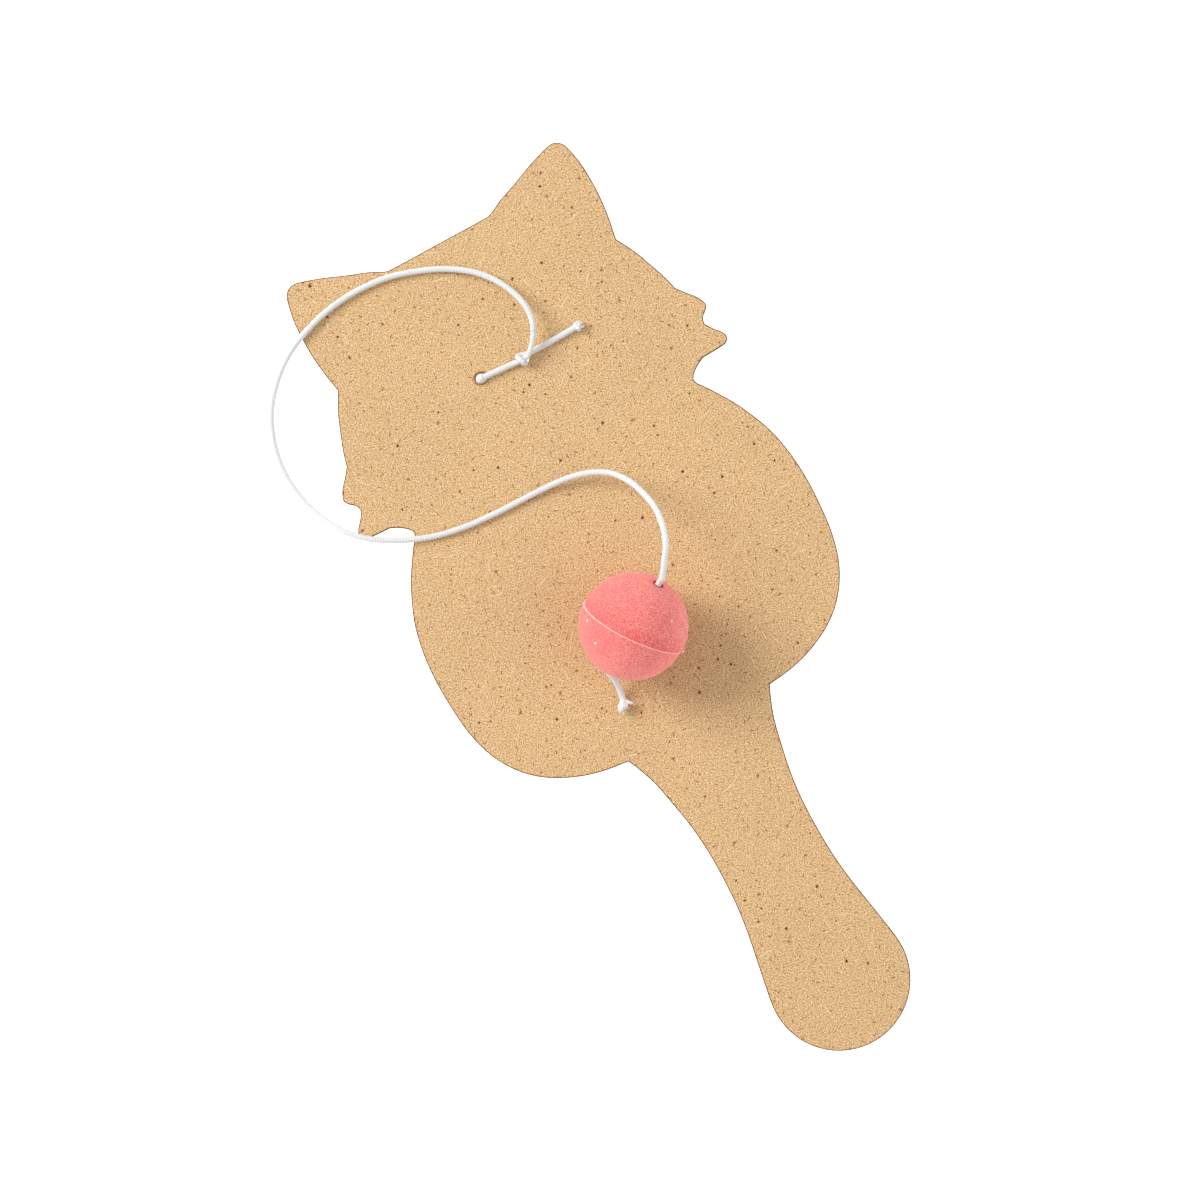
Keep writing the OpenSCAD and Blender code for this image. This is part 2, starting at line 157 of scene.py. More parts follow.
# %% Points of the knot and of the strands through the board
line_offsets = [
    (3.69, 3.21, 2.75), (3.16, 2.33, 2.59), (2.6, 1.61, 2.34), (2.04, 0.99, 2.06), (1.51, 0.49, 1.81),
    (1.01, 0.13, 1.56), (0.51, 0, 1.34), (0.01, -0.05, 1.19), (-0.49, -0.03, 1.05), (-0.99, 0.02, 0.88),
    (-1.49, 0.08, 0.69), (-1.99, 0.13, 0.56),
]
hitch_offsets = [
    (-0.31, -0.11, 0.26), (-0.15, -0.35, 0.38), (-0.03, -0.63, 0.5), (0.01, -0.77, 0.84), (-0.1, -0.79, 1.42),
    (-0.22, -0.49, 1.84), (-0.38, -0.13, 1.93), (-0.55, 0.25, 1.79), (-0.67, 0.6, 1.45), (-0.57, 0.82, 1.08),
    (-0.18, 0.77, 0.91), (0.32, 0.61, 0.84), (0.82, 0.49, 0.78), (1.32, 0.39, 0.72), (1.88, 0.39, 0.63),
    (2.51, 0.39, 0.55),
]
CORD_D = 2 * CORD_R
TOP_Z = BOARD_TOP + LAY
BACK_Z = BOARD_BACK - LAY
EDGE_X = HALF_SPACING - HOLE_R
HITCH_SIDE = 0.39 * CORD_D
TAIL_LENGTH = 0.0082


def by_holes(x, z):
    """The point at x along the line of the holes, from the middle between them, and at height z."""
    return tuple(HOLES_MIDDLE + x * HOLE_LINE + Vector((0, 0, z)))


def quarter_turn(side, top, reach=LAY):
    """Points round a hole's edge, from along the board to straight down the hole, reach away from the edge."""
    z, up = (BOARD_TOP, 1) if top else (BOARD_BACK, -1)
    return [
        by_holes(side * (EDGE_X + reach * math.sin(a)), z + up * LAY * math.cos(a))
        for a in (math.radians(d) for d in (0, 22.5, 45, 67.5, 90))
    ]


knot_line = [tuple(HOLE + CORD_D * Vector(o)) for o in line_offsets]
knot_line += [by_holes(HALF_SPACING + x * CORD_D, TOP_Z) for x in (-2.6, -3.2)]
down_left = quarter_turn(-1, True, HOLE_R) + quarter_turn(-1, False, HOLE_R)[::-1]
across_back = [by_holes(x, BACK_Z) for x in (-0.0025, 0, 0.0025)]
up_right = quarter_turn(1, False) + [by_holes(EDGE_X + LAY, BOARD_TOP - 0.4 * CORD_D)]
hitch = [by_holes(EDGE_X + LAY, BOARD_TOP + 0.06 * CORD_D)]
hitch += [tuple(HOLE + CORD_D * Vector(o)) for o in hitch_offsets]
tail_start = [tuple(HOLE + Vector((x * CORD_D, HITCH_SIDE, LAY))) for x in (3.5, 4.45, 5.16)]
anchor_tail = [
    tuple(Vector(tail_start[-1]) + TAIL_LENGTH * Vector(o))
    for o in ((0.4, 0.004, 0), (0.75, 0.012, 0.008), (1, 0.022, 0.045))
]

bore_lead = [tuple(BORE_EXIT - 0.4 * CORD_D * BORE), tuple(BORE_EXIT)]
bore_run = [tuple(BALL + s * BALL_R * BORE) for s in (-0.5, 0, 0.5)]
ball_lead = [tuple(BORE_MOUTH), tuple(BORE_MOUTH + 0.08 * BALL_R * BORE)]
whole_route = (
    ball_tail + bore_lead + bore_run + ball_lead + free_points
    + knot_line + down_left + across_back + up_right + hitch + tail_start + anchor_tail
)
print("route points", len(whole_route))

# %% [markdown]
# ### One smooth line, with sideways directions that don't twist
# A Catmull-Rom curve passes through every point. Each ring of the tube needs a sideways direction. If each were
# worked out on its own the braid would spin at the knot, so each is carried on from the one before.

# %% Sample the route evenly
RING_STEP = 0.00016
STEPS_BETWEEN_POINTS = 48
FIRST_SIDE = np.array([0.3, 1, 0.2])


def smooth_line(route, spacing):
    """Places evenly spaced along a curve through the route's points, and how far along each lies."""
    p = np.array(route)
    p = np.vstack([p[:1], p, p[-1:]])
    t = np.linspace(0, 1, STEPS_BETWEEN_POINTS, endpoint=False)[:, None]
    spans = [
        b + ((c - a) * t + (2 * a - 5 * b + 4 * c - d) * t**2 + (3 * b - a - 3 * c + d) * t**3) / 2
        for a, b, c, d in zip(p[:-3], p[1:-2], p[2:-1], p[3:])
    ]
    fine = np.vstack(spans + [p[-1:]])
    reach = np.concatenate([[0], np.cumsum(np.linalg.norm(np.diff(fine, axis=0), axis=1))])
    at = np.linspace(0, reach[-1], round(reach[-1] / spacing) + 1)
    return np.column_stack([np.interp(at, reach, fine[:, i]) for i in range(3)]), at


def carried_sides(line):
    """The heading at each place of a line, and a sideways direction carried along it."""
    heading = np.gradient(line, axis=0)
    heading /= np.linalg.norm(heading, axis=1)[:, None]
    side = FIRST_SIDE
    sides = []
    for h in heading:
        side = side - side.dot(h) * h
        side = side / np.linalg.norm(side)
        sides.append(side)
    return heading, np.array(sides)


cord_line, cord_at = smooth_line(whole_route, RING_STEP)
cord_heading, cord_side = carried_sides(cord_line)


def ring_at(point):
    return int(np.argmin(np.linalg.norm(cord_line - np.array(point), axis=1)))


ball_ring = ring_at(BORE_MOUTH)
knot_ring = ring_at(knot_line[0])
front_ring = ring_at(knot_line[-1])
hitch_ring = ring_at(hitch[0])
tail_ring = ring_at(tail_start[-1])
print("rings", len(cord_line), "free length", round(cord_at[knot_ring] - cord_at[ball_ring], 4), "m")

# %% [markdown]
# ### Where the cord is thin and where it is fat
# Elastic under a tight turn goes thin, so the radius eases down into the knot and back up on the way out. In the
# left hole it is the other way round. The braid bunches up where the cord bends down, and fills the hole like a
# plug. The tail under the ball is a little fatter too, as nothing pulls on it.

# %% Radius at every ring
KNOT_R = 0.00073
PLUG_R = 0.00138
SLACK_R = 0.00088
PLUG_EASE = 0.3
SLACK_EASE = 0.003


def ease(t):
    t = np.clip(t, 0, 1)
    return t * t * (3 - 2 * t)


cord_radius = np.full(len(cord_line), CORD_R)
for first, last, into, out in ((knot_ring, front_ring, 0.3, 0.35), (hitch_ring, tail_ring, 0.14, 0.5)):
    t = np.linspace(0, 1, last - first + 1)
    cord_radius[first:last + 1] += (KNOT_R - CORD_R) * ease(np.minimum(t / into, (1 - t) / out))
plug_first, plug_last = ring_at(down_left[0]), ring_at(down_left[-1])
t = np.linspace(0, 1, plug_last - plug_first + 1)
cord_radius[plug_first:plug_last + 1] += (PLUG_R - CORD_R) * ease(np.minimum(t, 1 - t) / PLUG_EASE)
exit_ring = ring_at(BORE_EXIT)
cord_radius[:exit_ring] += (SLACK_R - CORD_R) * ease((cord_at[exit_ring] - cord_at[:exit_ring]) / SLACK_EASE)
print("thinnest", round(2000 * cord_radius.min(), 2), "mm, fattest", round(2000 * cord_radius.max(), 2), "mm")

# %% [markdown]
# ### How every tube is made
# The cord and the single yarns of its frayed ends are tubes: rings of points round a line, walls between the
# rings and a flat face over each end. A braid isn't quite round, so every point may have a radius of its own.

# %% Helpers for tubes and new pieces


def tube_points(line, heading, side, radius, sides):
    """Rings of points round a line. The radius has a value for each ring, or for each point of it."""
    up = np.cross(heading, side)
    angle = 2 * np.pi * np.arange(sides) / sides
    spokes = np.cos(angle)[None, :, None] * side[:, None] + np.sin(angle)[None, :, None] * up[:, None]
    return (line[:, None] + radius[..., None] * spokes).reshape(-1, 3)


def tube_faces(count, sides):
    """The walls between rings of points, and the two ends."""
    walls = [
        (k * sides + j, k * sides + (j + 1) % sides, (k + 1) * sides + (j + 1) % sides, (k + 1) * sides + j)
        for k in range(count - 1) for j in range(sides)
    ]
    return walls + [tuple(range(sides))[::-1], tuple((count - 1) * sides + j for j in range(sides))]


def new_piece(name, points, faces):
    mesh = bpy.data.meshes.new(name)
    mesh.from_pydata(points, [], faces)
    piece = bpy.data.objects.new(name, mesh)
    bpy.context.collection.objects.link(piece)
    print(name, len(mesh.polygons), "faces")
    return piece


def deselect_everything():
    bpy.ops.object.select_all(action="DESELECT")


def select_only(piece):
    deselect_everything()
    bpy.context.view_layer.objects.active = piece
    piece.select_set(True)


def finish_mesh(piece):
    """Turns a piece's faces outwards and smooths its shading."""
    select_only(piece)
    bpy.ops.object.mode_set(mode="EDIT")
    bpy.ops.mesh.select_all(action="SELECT")
    bpy.ops.mesh.normals_make_consistent(inside=False)
    bpy.ops.object.mode_set(mode="OBJECT")
    bpy.ops.object.shade_smooth()


# %% [markdown]
# ### The braid
# The sleeve is braided from white yarns that run round the cord both ways, over and under each other. Each yarn's
# crown stands proud by a few hundredths of a millimetre. The mesh carries the larger swell of the yarns, and the
# material adds the single threads, so the mesh stays light.

# %% Tube with a braided surface
BRAID_SIDES = 24
BRAID_YARNS = 6
BRAID_PITCH = 0.0045
BRAID_SWELL = 0.00003


def yarn_crown(right, left):
    """Height of the yarns, 0 to 1, at places counted in yarns round the cord both ways."""
    over = 0.5 + 0.5 * np.cos(np.pi * (left + np.floor(right)))
    under = 0.5 + 0.5 * np.cos(np.pi * (right + np.floor(left)) + np.pi)
    return np.maximum(np.abs(np.sin(np.pi * right)) * (0.45 + 0.55 * over),
                      np.abs(np.sin(np.pi * left)) * (0.45 + 0.55 * under))


def braided_tube(name, first, last, lie_flat=False):
    """The cord from one ring to another, unwrapped once round it and along it in pitches of the braid."""
    rings = np.arange(first, last + 1)
    turn = np.arange(BRAID_SIDES) / BRAID_SIDES
    along = cord_at[rings][:, None] / BRAID_PITCH
    crown = yarn_crown(BRAID_YARNS * (turn[None, :] + along), BRAID_YARNS * (turn[None, :] - along))
    radius = cord_radius[rings][:, None] + BRAID_SWELL * (crown - 0.6)
    points = tube_points(cord_line[rings], cord_heading[rings], cord_side[rings], radius, BRAID_SIDES)
    if lie_flat:
        points[:, 2] = np.maximum(points[:, 2], 0)
    piece = new_piece(name, points.tolist(), tube_faces(len(rings), BRAID_SIDES))
    unwrapped = piece.data.uv_layers.new(name="braid")
    for face in piece.data.polygons:
        wraps = {v % BRAID_SIDES for v in face.vertices} == {0, BRAID_SIDES - 1}
        for corner, v in zip(face.loop_indices, face.vertices):
            column = v % BRAID_SIDES
            column += BRAID_SIDES if wraps and column == 0 else 0
            unwrapped.data[corner].uv = (column / BRAID_SIDES, cord_at[first + v // BRAID_SIDES] / BRAID_PITCH)
    finish_mesh(piece)
    return piece


# %% [markdown]
# ### The three pieces of the cord
# The split follows what moves: the end in the ball goes with the ball, the anchored end goes with the paddle, and
# the loose part between them is attached to neither. The strand behind the board is pressed flat by the
# table, as it carries the board's weight.

# %% Make and attach the cord
ball_end = braided_tube("cord_in_ball", 0, ball_ring)
loose_cord = braided_tube("loose_cord", ball_ring, knot_ring)
anchored = braided_tube("knotted_cord", knot_ring, len(cord_line) - 1, lie_flat=True)

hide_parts("elastic_in_ball", "elastic_ball_tail")
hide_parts("elastic_free_stretch")
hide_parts("elastic_back_strand", "elastic_front_strand", "anchor_knot", "elastic_anchor_tail")
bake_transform(loose_cord)
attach(ball_end, "cord_end")
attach(anchored, "paddle")

# %% [markdown]
# ### Frayed ends
# A cut braid opens at once. Its yarns spring apart into soft fat lobes, shorter tufts stand between them, and
# single threads stick out all over. The lobes are given one by one as they lie in the photograph. The tufts and
# threads are drawn from a seeded list, so every run makes the same end.

# %% Strands, and pieces made of them


def strand(path, radii, sides):
    """Vertices and faces of one closed tapered strand."""
    path = np.array(path)
    points = tube_points(path, *carried_sides(path), np.array(radii)[:, None], sides)
    return points.tolist(), tube_faces(len(path), sides)


def piece_from(name, strands):
    """One object from a list of strands."""
    points, faces = [], []
    for new_points, new_faces in strands:
        start = len(points)
        points.extend(new_points)
        faces.extend(tuple(start + v for v in f) for f in new_faces)
    piece = new_piece(name, points, faces)
    finish_mesh(piece)
    return piece


# %% One frayed end
MM = 0.001
YARN_STEPS = [s / 9 for s in range(10)]
YARN_SIDES = 7
YARNS_ROUND_ONE = 6
YARN_TWIST = 1.3
TUFT_TWIST = 12
THREAD_STEPS = (0, 0.25, 0.5, 0.75, 1)
THREAD_SIDES = 5
THREAD_R = 0.000045
LOBE_THREADS = 9
TUFTS = 9
TUFT_THREADS = 4


def frayed_end(name, ring, outward, lobes, seed, floor_z):
    """A frayed end at a ring. Each lobe is its angle, forward and sideways reach, curl and thickness, in mm."""
    rng = random.Random(seed)
    place = Vector(cord_line[ring])
    heading = outward * Vector(cord_heading[ring])
    side = Vector((0, 0, 1)).cross(heading).normalized()
    up = heading.cross(side)
    strands = []

    def add(path, radii, sides):
        clear = [Vector((p.x, p.y, max(p.z, floor_z + r))) for p, r in zip(path, radii)]
        strands.append(strand(clear, radii, sides))

    def tuft(angle, forward, sideways, curl, thick, threads):
        axis = []
        for s in YARN_STEPS:
            turned = math.radians(angle + TUFT_TWIST * s)
            out = math.cos(turned) * side + math.sin(turned) * up
            opened = 0.4 + sideways * (1 - (1 - s) ** 1.8)
            axis.append(place + MM * ((forward * s + curl * s**3 - 0.4) * heading + opened * out))
        for k in range(YARNS_ROUND_ONE + 1):
            round_at, stray = 2 * math.pi * k / YARNS_ROUND_ONE, rng.uniform(0.1, 0.6)
            length = rng.uniform(0.82, 1)
            path, radii = [], []
            for i, s in enumerate(YARN_STEPS):
                spread = MM * thick * (0.55 + stray * s * s) * (k > 0)
                turned = round_at + YARN_TWIST * s
                off = math.cos(turned) * out + math.sin(turned) * heading.cross(out)
                path.append(axis[0].lerp(axis[i], length) + spread * off)
                radii.append(MM * thick * 0.5 * (0.85 + 0.3 * math.sin(math.pi * s)) * (1 - 0.75 * s**6))
            add(path, radii, YARN_SIDES)
        for _ in range(threads):
            spot = rng.randrange(3, 9)
            away = (out + heading * rng.uniform(-0.2, 1.5) + side * rng.uniform(-0.7, 0.7)
                    + up * rng.uniform(-0.7, 0.7)).normalized()
            reach = MM * (thick + rng.uniform(0.2, 0.55))
            bend = Vector([rng.uniform(-0.0002, 0.0002) for _ in range(3)])
            thread = [axis[spot] + reach * s * away + s * s * bend for s in THREAD_STEPS]
            add(thread, [THREAD_R * (1 - 0.5 * s) for s in THREAD_STEPS], THREAD_SIDES)

    for lobe in lobes:
        tuft(*lobe, LOBE_THREADS)
    for k in range(TUFTS):
        tuft(360 / TUFTS * k + rng.uniform(-14, 14), rng.uniform(1, 1.6), rng.uniform(0.15, 0.45), 0,
             rng.uniform(0.2, 0.28), TUFT_THREADS)
    return piece_from(name, strands)


# %% The two frayed ends
KNOT_TAIL_LOBES = [
    (5, 0.9, 0.6, -0.3, 0.4), (-5, 2.2, 0.45, 0, 0.34), (172, 2.5, 0.35, 0, 0.34), (168, 1.05, 0.75, -0.3, 0.38),
    (80, 2.1, 0.2, 0, 0.44), (40, 1.5, 0.5, -0.2, 0.38), (130, 1.6, 0.45, -0.2, 0.4), (-60, 1.9, 0.25, 0, 0.4),
]
BALL_TAIL_LOBES = [
    (-6, 2.6, 1.8, -1.05, 0.38), (5, 2.3, 1.25, -0.4, 0.44), (172, 2.7, 1.35, 0, 0.48), (165, 3.3, 0.9, 0, 0.46),
    (140, 3, 0.4, 0, 0.5), (50, 2.8, 0.3, 0, 0.5), (100, 2.7, 0.55, 0, 0.5),
]
knot_fray = frayed_end("knot_tail_fray", len(cord_line) - 1, 1, KNOT_TAIL_LOBES, 11, BOARD_TOP + 0.0001)
ball_fray = frayed_end("ball_tail_fray_tufts", 0, -1, BALL_TAIL_LOBES, 23, BOARD_TOP + 0.0004)
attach(knot_fray, "paddle")
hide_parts("anchor_tail_fray")
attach(ball_fray, "cord_end")
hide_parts("ball_tail_fray")

# %% [markdown]
# ### The rubber core
# The core was cut with scissors together with the sleeve. Rubber springs back from the cut, so its end sits deep
# between the tufts, a little dished, with a rounded rim and a waist where the sleeve still grips it.

# %% One cut core, and its copy at the other end
CORE_R = 0.00045
CORE_LENGTH = 0.0016
CORE_SEAT = 0.0013
CORE_RIM = 0.0001
CORE_DISH = 0.00005
WAIST_Z = 0.0002
WAIST = 0.9
deselect_everything()
bpy.ops.mesh.primitive_cylinder_add(vertices=28, radius=CORE_R, depth=CORE_LENGTH, end_fill_type="NGON")
knot_core = bpy.context.view_layer.objects.active
knot_core.name = "knot_tail_core"


def pick_cut_face(core):
    """Selects only the flat face at the core's upper end."""
    bpy.ops.object.mode_set(mode="EDIT")
    bpy.ops.mesh.select_mode(type="FACE")
    bpy.ops.mesh.select_all(action="DESELECT")
    bpy.ops.object.mode_set(mode="OBJECT")
    for face in core.data.polygons:
        face.select = face.normal.z > 0.999 and len(face.vertices) > 8
    bpy.ops.object.mode_set(mode="EDIT")


pick_cut_face(knot_core)
bpy.ops.mesh.bevel(offset=CORE_RIM, segments=3, affect="EDGES")
pick_cut_face(knot_core)
bpy.ops.mesh.inset(thickness=0.00006)
bpy.ops.mesh.inset(thickness=0.00012, depth=-CORE_DISH)
bpy.ops.mesh.select_all(action="SELECT")
bpy.ops.mesh.bisect(plane_co=(0, 0, WAIST_Z), plane_no=(0, 0, 1))
bpy.ops.transform.resize(value=(WAIST, WAIST, 1))
bpy.ops.object.mode_set(mode="OBJECT")
bpy.ops.object.shade_smooth_by_angle(angle=math.radians(50))


def seat_core(core, ring, outward, body, node_name):
    heading = outward * Vector(cord_heading[ring])
    select_only(core)
    core.rotation_euler = heading.to_track_quat("Z", "Y").to_euler()
    core.location = Vector(cord_line[ring]) + CORE_SEAT * heading
    bpy.ops.object.transform_apply(location=True, rotation=True, scale=True)
    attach(core, body)
    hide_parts(node_name)


bpy.ops.object.duplicate()
ball_core = bpy.context.view_layer.objects.active
ball_core.name = "ball_tail_rubber"
seat_core(knot_core, len(cord_line) - 1, 1, "paddle", "anchor_tail_core")
seat_core(ball_core, 0, -1, "cord_end", "ball_tail_core")
print("core", len(knot_core.data.polygons), "faces")

# %% [markdown]
# ## The board
# The paddle is cut from 3 mm fibreboard by a laser or a router, so its faces are flat and its edges are sharp but
# for a slight break, which the cutter has browned: from above it is the thin dark line round the outline. The CAD
# solid already has the outline, so a copy of it is merged into whole faces and bevelled along its outer edges. The
# bevel isn't clamped, as the outline's shortest edges would then make it too narrow, and the drilled holes keep
# their sharp edges.

# %% Copy the solid and break its outer edges
EDGE_BREAK = 0.00028
HOLE_ZONE = 0.0025
left_hole, right_hole = (HOLES_MIDDLE + way * HALF_SPACING * HOLE_LINE for way in (-1, 1))


def copy_of(node_name, name):
    select_only(frame["nodes"][node_name])
    bpy.ops.object.duplicate()
    piece = bpy.context.view_layer.objects.active
    bpy.ops.object.parent_clear(type="CLEAR_KEEP_TRANSFORM")
    bpy.ops.object.transform_apply(location=True, rotation=True, scale=True)
    piece.name = name
    piece.data.name = name
    for key in list(piece.keys()):
        del piece[key]
    return piece


board = copy_of("paddle_board", "cat_board")
bpy.ops.object.mode_set(mode="EDIT")
bpy.ops.mesh.select_all(action="SELECT")
bpy.ops.mesh.remove_doubles(threshold=0.000001)
bpy.ops.mesh.dissolve_limited(angle_limit=math.radians(1))
bpy.ops.mesh.select_all(action="DESELECT")
bpy.ops.mesh.select_mode(type="EDGE")
bpy.ops.object.mode_set(mode="OBJECT")
for edge in board.data.edges:
    a, b = (board.data.vertices[v].co for v in edge.vertices)
    drilled = min((a - hole).xy.length for hole in (left_hole, right_hole)) < HOLE_ZONE
    edge.select = abs(a.z - b.z) < 1e-6 and not drilled
bpy.ops.object.mode_set(mode="EDIT")
bpy.ops.mesh.bevel(offset=EDGE_BREAK, segments=2, profile=0.6, affect="EDGES", clamp_overlap=False)
bpy.ops.mesh.select_all(action="SELECT")
bpy.ops.mesh.normals_make_consistent(inside=False)
bpy.ops.object.mode_set(mode="OBJECT")
bpy.ops.object.shade_smooth_by_angle(angle=math.radians(20))
print("board with broken edges", len(board.data.polygons), "faces")

# %% [markdown]
# ### The lip at the left hole
# The drill has pushed a thin crescent of fibres up beside the left hole, below and to the right. It is one tapered
# strand that lies half in the face, and it is joined to the board, because it is the same fibreboard.

# %% Lay the lip and join it to the board
LIP_SINK = 0.1
crescent = [(-0.0082, 0.0779), (-0.0079, 0.0774), (-0.0074, 0.0772), (-0.0068, 0.0772), (-0.0062, 0.0773),
            (-0.0056, 0.0776), (-0.005, 0.078)]
crescent_sizes = [0.0001, 0.00024, 0.00032, 0.00035, 0.00032, 0.00024, 0.0001]
lip_path = [(x, y, BOARD_TOP - LIP_SINK * r) for (x, y), r in zip(crescent, crescent_sizes)]
lip = piece_from("drilled_lip", [strand(lip_path, crescent_sizes, 10)])
select_only(board)
lip.select_set(True)
bpy.ops.object.join()
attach(board, "paddle")
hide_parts("paddle_board")
print("board", len(board.data.polygons), "faces")

# %% [markdown]
# ## The ball
# A cheap moulded ball shows how it was made: the two halves of the mould met slightly out of line, rubber crept
# between them and left a thin rib with a nub on it, and the elastic pulls the mouth of the bore in. The sphere is
# turned so that its poles lie on the bore. Then each bore mouth is a pole, and can be drawn in ring by ring.

# %% A sphere round the bore
SEAM = heading_of(35.5, 14.5)
SEAM_OUT = Vector((0.575, -0.818, 0))
BALL_RINGS = 96
BALL_SEGMENTS = 144


def select_vertices(piece, chosen):
    """Selects the vertices whose place passes the test, and what they make up."""
    bpy.ops.object.mode_set(mode="OBJECT")
    mesh = piece.data
    places = np.empty(3 * len(mesh.vertices))
    mesh.vertices.foreach_get("co", places)
    picks = chosen(places.reshape(-1, 3))
    mesh.vertices.foreach_set("select", picks)
    bpy.ops.object.mode_set(mode="EDIT")
    bpy.ops.mesh.select_mode(type="VERT")
    bpy.ops.object.mode_set(mode="OBJECT")
    mesh.vertices.foreach_set("select", picks)
    edge_ends = np.empty(2 * len(mesh.edges), dtype=int)
    mesh.edges.foreach_get("vertices", edge_ends)
    mesh.edges.foreach_set("select", picks[edge_ends.reshape(-1, 2)].all(axis=1))
    for face in mesh.polygons:
        face.select = bool(picks[list(face.vertices)].all())
    bpy.ops.object.mode_set(mode="EDIT")
    return int(picks.sum())


deselect_everything()
bpy.ops.mesh.primitive_uv_sphere_add(segments=BALL_SEGMENTS, ring_count=BALL_RINGS, radius=BALL_R)
ball = bpy.context.view_layer.objects.active
ball.name = "rubber_ball"
ball.rotation_euler = BORE.to_track_quat("Z", "Y").to_euler()
ball.location = BALL
bpy.ops.object.transform_apply(location=True, rotation=True, scale=True)
print("ball", len(ball.data.polygons), "faces")

# %% [markdown]
# ### The mould's parting line
# Two cuts a hair apart give a narrow band. Extruding the band outwards makes the rib, and the half above it
# is shifted sideways by a fraction of a millimetre, as on the real ball.

# %% Cut the band, raise the rib and shift the halves
RIB_WIDTH = 0.0003
RIB_HEIGHT = 0.0003
MOULD_STEP = 0.0003
bpy.ops.object.mode_set(mode="EDIT")
for way in (-1, 1):
    bpy.ops.mesh.select_all(action="SELECT")
    bpy.ops.mesh.bisect(plane_co=BALL + way * 0.5 * RIB_WIDTH * SEAM, plane_no=SEAM)
seam_n, ball_n = np.array(SEAM), np.array(BALL)
select_vertices(ball, lambda p: np.abs((p - ball_n) @ seam_n) < 0.51 * RIB_WIDTH)
bpy.ops.mesh.select_mode(type="FACE")
bpy.ops.mesh.extrude_region_shrink_fatten(TRANSFORM_OT_shrink_fatten={"value": RIB_HEIGHT})
select_vertices(ball, lambda p: (p - ball_n) @ seam_n > 0.2 * RIB_WIDTH)
bpy.ops.transform.translate(value=0.5 * MOULD_STEP * SEAM_OUT)
select_vertices(ball, lambda p: (p - ball_n) @ seam_n < -0.2 * RIB_WIDTH)
bpy.ops.transform.translate(value=-0.5 * MOULD_STEP * SEAM_OUT)
bpy.ops.object.mode_set(mode="OBJECT")
print("ball with rib", len(ball.data.polygons), "faces")

# %% [markdown]
# ### The nub and the bore
# The elastic draws both mouths of the bore in, most in the middle. The nub is where the mould was filled: a small
# squashed sphere is united with the ball. The bore is cut last, with a drill of its own size.

# %% Draw the bore's mouths in
MOUTH_DEPTH = 0.0005
MOUTH_REACH = 0.0013
MOUTH_RINGS = 12
RING_WIDTH = 0.00028
bore_n = np.array(BORE)
for way in (1, -1):
    bpy.ops.object.mode_set(mode="EDIT")
    for k in range(MOUTH_RINGS):
        low, high = RING_WIDTH * k, RING_WIDTH * (k + 1)

        def in_ring(p, low=low, high=high, way=way):
            off = p - ball_n
            height = off @ bore_n
            wide = np.linalg.norm(off - height[:, None] * bore_n, axis=1)
            return (way * height > 0) & (wide >= low) & (wide < high)

        if select_vertices(ball, in_ring):
            middle = 0.5 * (low + high)
            pull = MOUTH_DEPTH * math.exp(-((middle / MOUTH_REACH) ** 2))
            bpy.ops.transform.translate(value=-way * pull * BORE)
    bpy.ops.object.mode_set(mode="OBJECT")
print("mouths drawn in", MOUTH_DEPTH / MM, "mm")

# %% Add the nub and drill the bore
BORE_R = 0.00085
DRILL_LENGTH = 0.034
NUB_R = 0.001
NUB_SINK = 0.0001
NUB_SQUASH = (1.1, 0.75, 0.8)


def boolean(piece, other, operation):
    select_only(piece)
    cut = piece.modifiers.new("cut", "BOOLEAN")
    cut.object = other
    cut.operation = operation
    cut.solver = "EXACT"
    bpy.ops.object.modifier_apply(modifier="cut")
    bpy.data.objects.remove(other)


deselect_everything()
bpy.ops.mesh.primitive_uv_sphere_add(segments=24, ring_count=14, radius=NUB_R)
nub = bpy.context.view_layer.objects.active
nub.scale = NUB_SQUASH
nub.rotation_euler = (0, 0, math.atan2(SEAM_OUT.y, SEAM_OUT.x) + math.pi / 2)
nub.location = BALL + (BALL_R - NUB_SINK) * SEAM_OUT.normalized()
bpy.ops.object.transform_apply(location=True, rotation=True, scale=True)
boolean(ball, nub, "UNION")

deselect_everything()
bpy.ops.mesh.primitive_cylinder_add(vertices=32, radius=BORE_R, depth=DRILL_LENGTH)
drill = bpy.context.view_layer.objects.active
drill.rotation_euler = BORE.to_track_quat("Z", "Y").to_euler()
drill.location = BALL
bpy.ops.object.transform_apply(location=True, rotation=True, scale=True)
boolean(ball, drill, "DIFFERENCE")
bpy.ops.object.shade_smooth_by_angle(angle=math.radians(28))
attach(ball, "ball")
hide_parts("ball")
print("finished ball", len(ball.data.polygons), "faces")

# %% [markdown]
# ## Materials
# Every material is built from shader nodes. Effects that more than one finish uses are node groups, made once.
# Each helper below adds one node and gives back what comes out of it, so a finish reads like a recipe.

# %% Helpers for nodes
MM_PER_M = 1000.0


def fill(tree, node, **links):
    """Fills a node's inputs with values or with other nodes' outputs. i0 is the first input, and _ a space."""
    for key, value in links.items():
        socket = node.inputs[int(key[1:]) if key[1:].isdigit() else key.replace("_", " ")]
        if isinstance(value, bpy.types.NodeSocket):
            tree.links.new(value, socket)
        else:
            socket.default_value = value


def add_node(tree, kind, settings=None, **links):
    """Adds a node, sets its settings and fills its inputs."""
    node = tree.nodes.new(kind)
    for key, value in (settings or {}).items():
        setattr(node, key, value)
    fill(tree, node, **links)
    return node


def numbered(values):
    return {f"i{k}": value for k, value in enumerate(values)}


def maths(tree, operation, *values):
    return add_node(tree, "ShaderNodeMath", {"operation": operation}, **numbered(values)).outputs[0]


